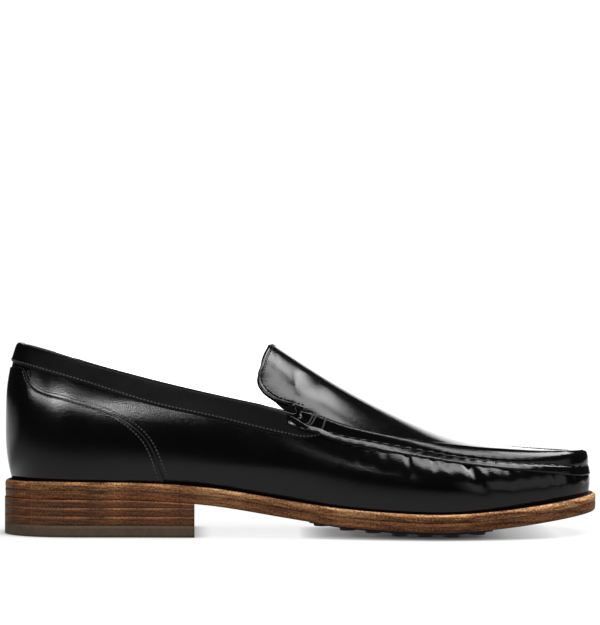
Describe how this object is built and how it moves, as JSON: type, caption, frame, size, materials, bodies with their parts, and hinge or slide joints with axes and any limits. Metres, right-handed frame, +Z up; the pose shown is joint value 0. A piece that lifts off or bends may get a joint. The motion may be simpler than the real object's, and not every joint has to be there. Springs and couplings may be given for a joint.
{
  "type": "slip-on loafer",
  "caption": "Men's slip-on loafer for the right foot: hollow leather upper with plain apron, raised seam and tongue, on a leather sole with a stacked heel.",
  "frame": {"origin": "on the floor, in the middle of the sole's length and width", "axes": "+X from heel to toe, +Y towards the inner side of the right foot, +Z up"},
  "size_m": [0.3, 0.1016, 0.0962],
  "materials": {
    "black_leather": "polished",
    "sock_leather": "matte",
    "welt_leather": "burnished",
    "sole_leather": "burnished",
    "lift_leather": "burnished",
    "heel_rubber": "matte",
    "tread_rubber": "matte"
  },
  "bodies": {
    "root": {"upper": "black_leather", "apron_seam": "black_leather", "collar_band": "black_leather", "heel_counter": "black_leather", "insole": "sock_leather", "welt": "welt_leather", "outsole": "sole_leather", "heel_lift_1": "lift_leather", "heel_lift_2": "lift_leather", "heel_lift_3": "lift_leather", "top_piece": "heel_rubber", "forepart_tread": "tread_rubber"}
  },
  "joints": []
}
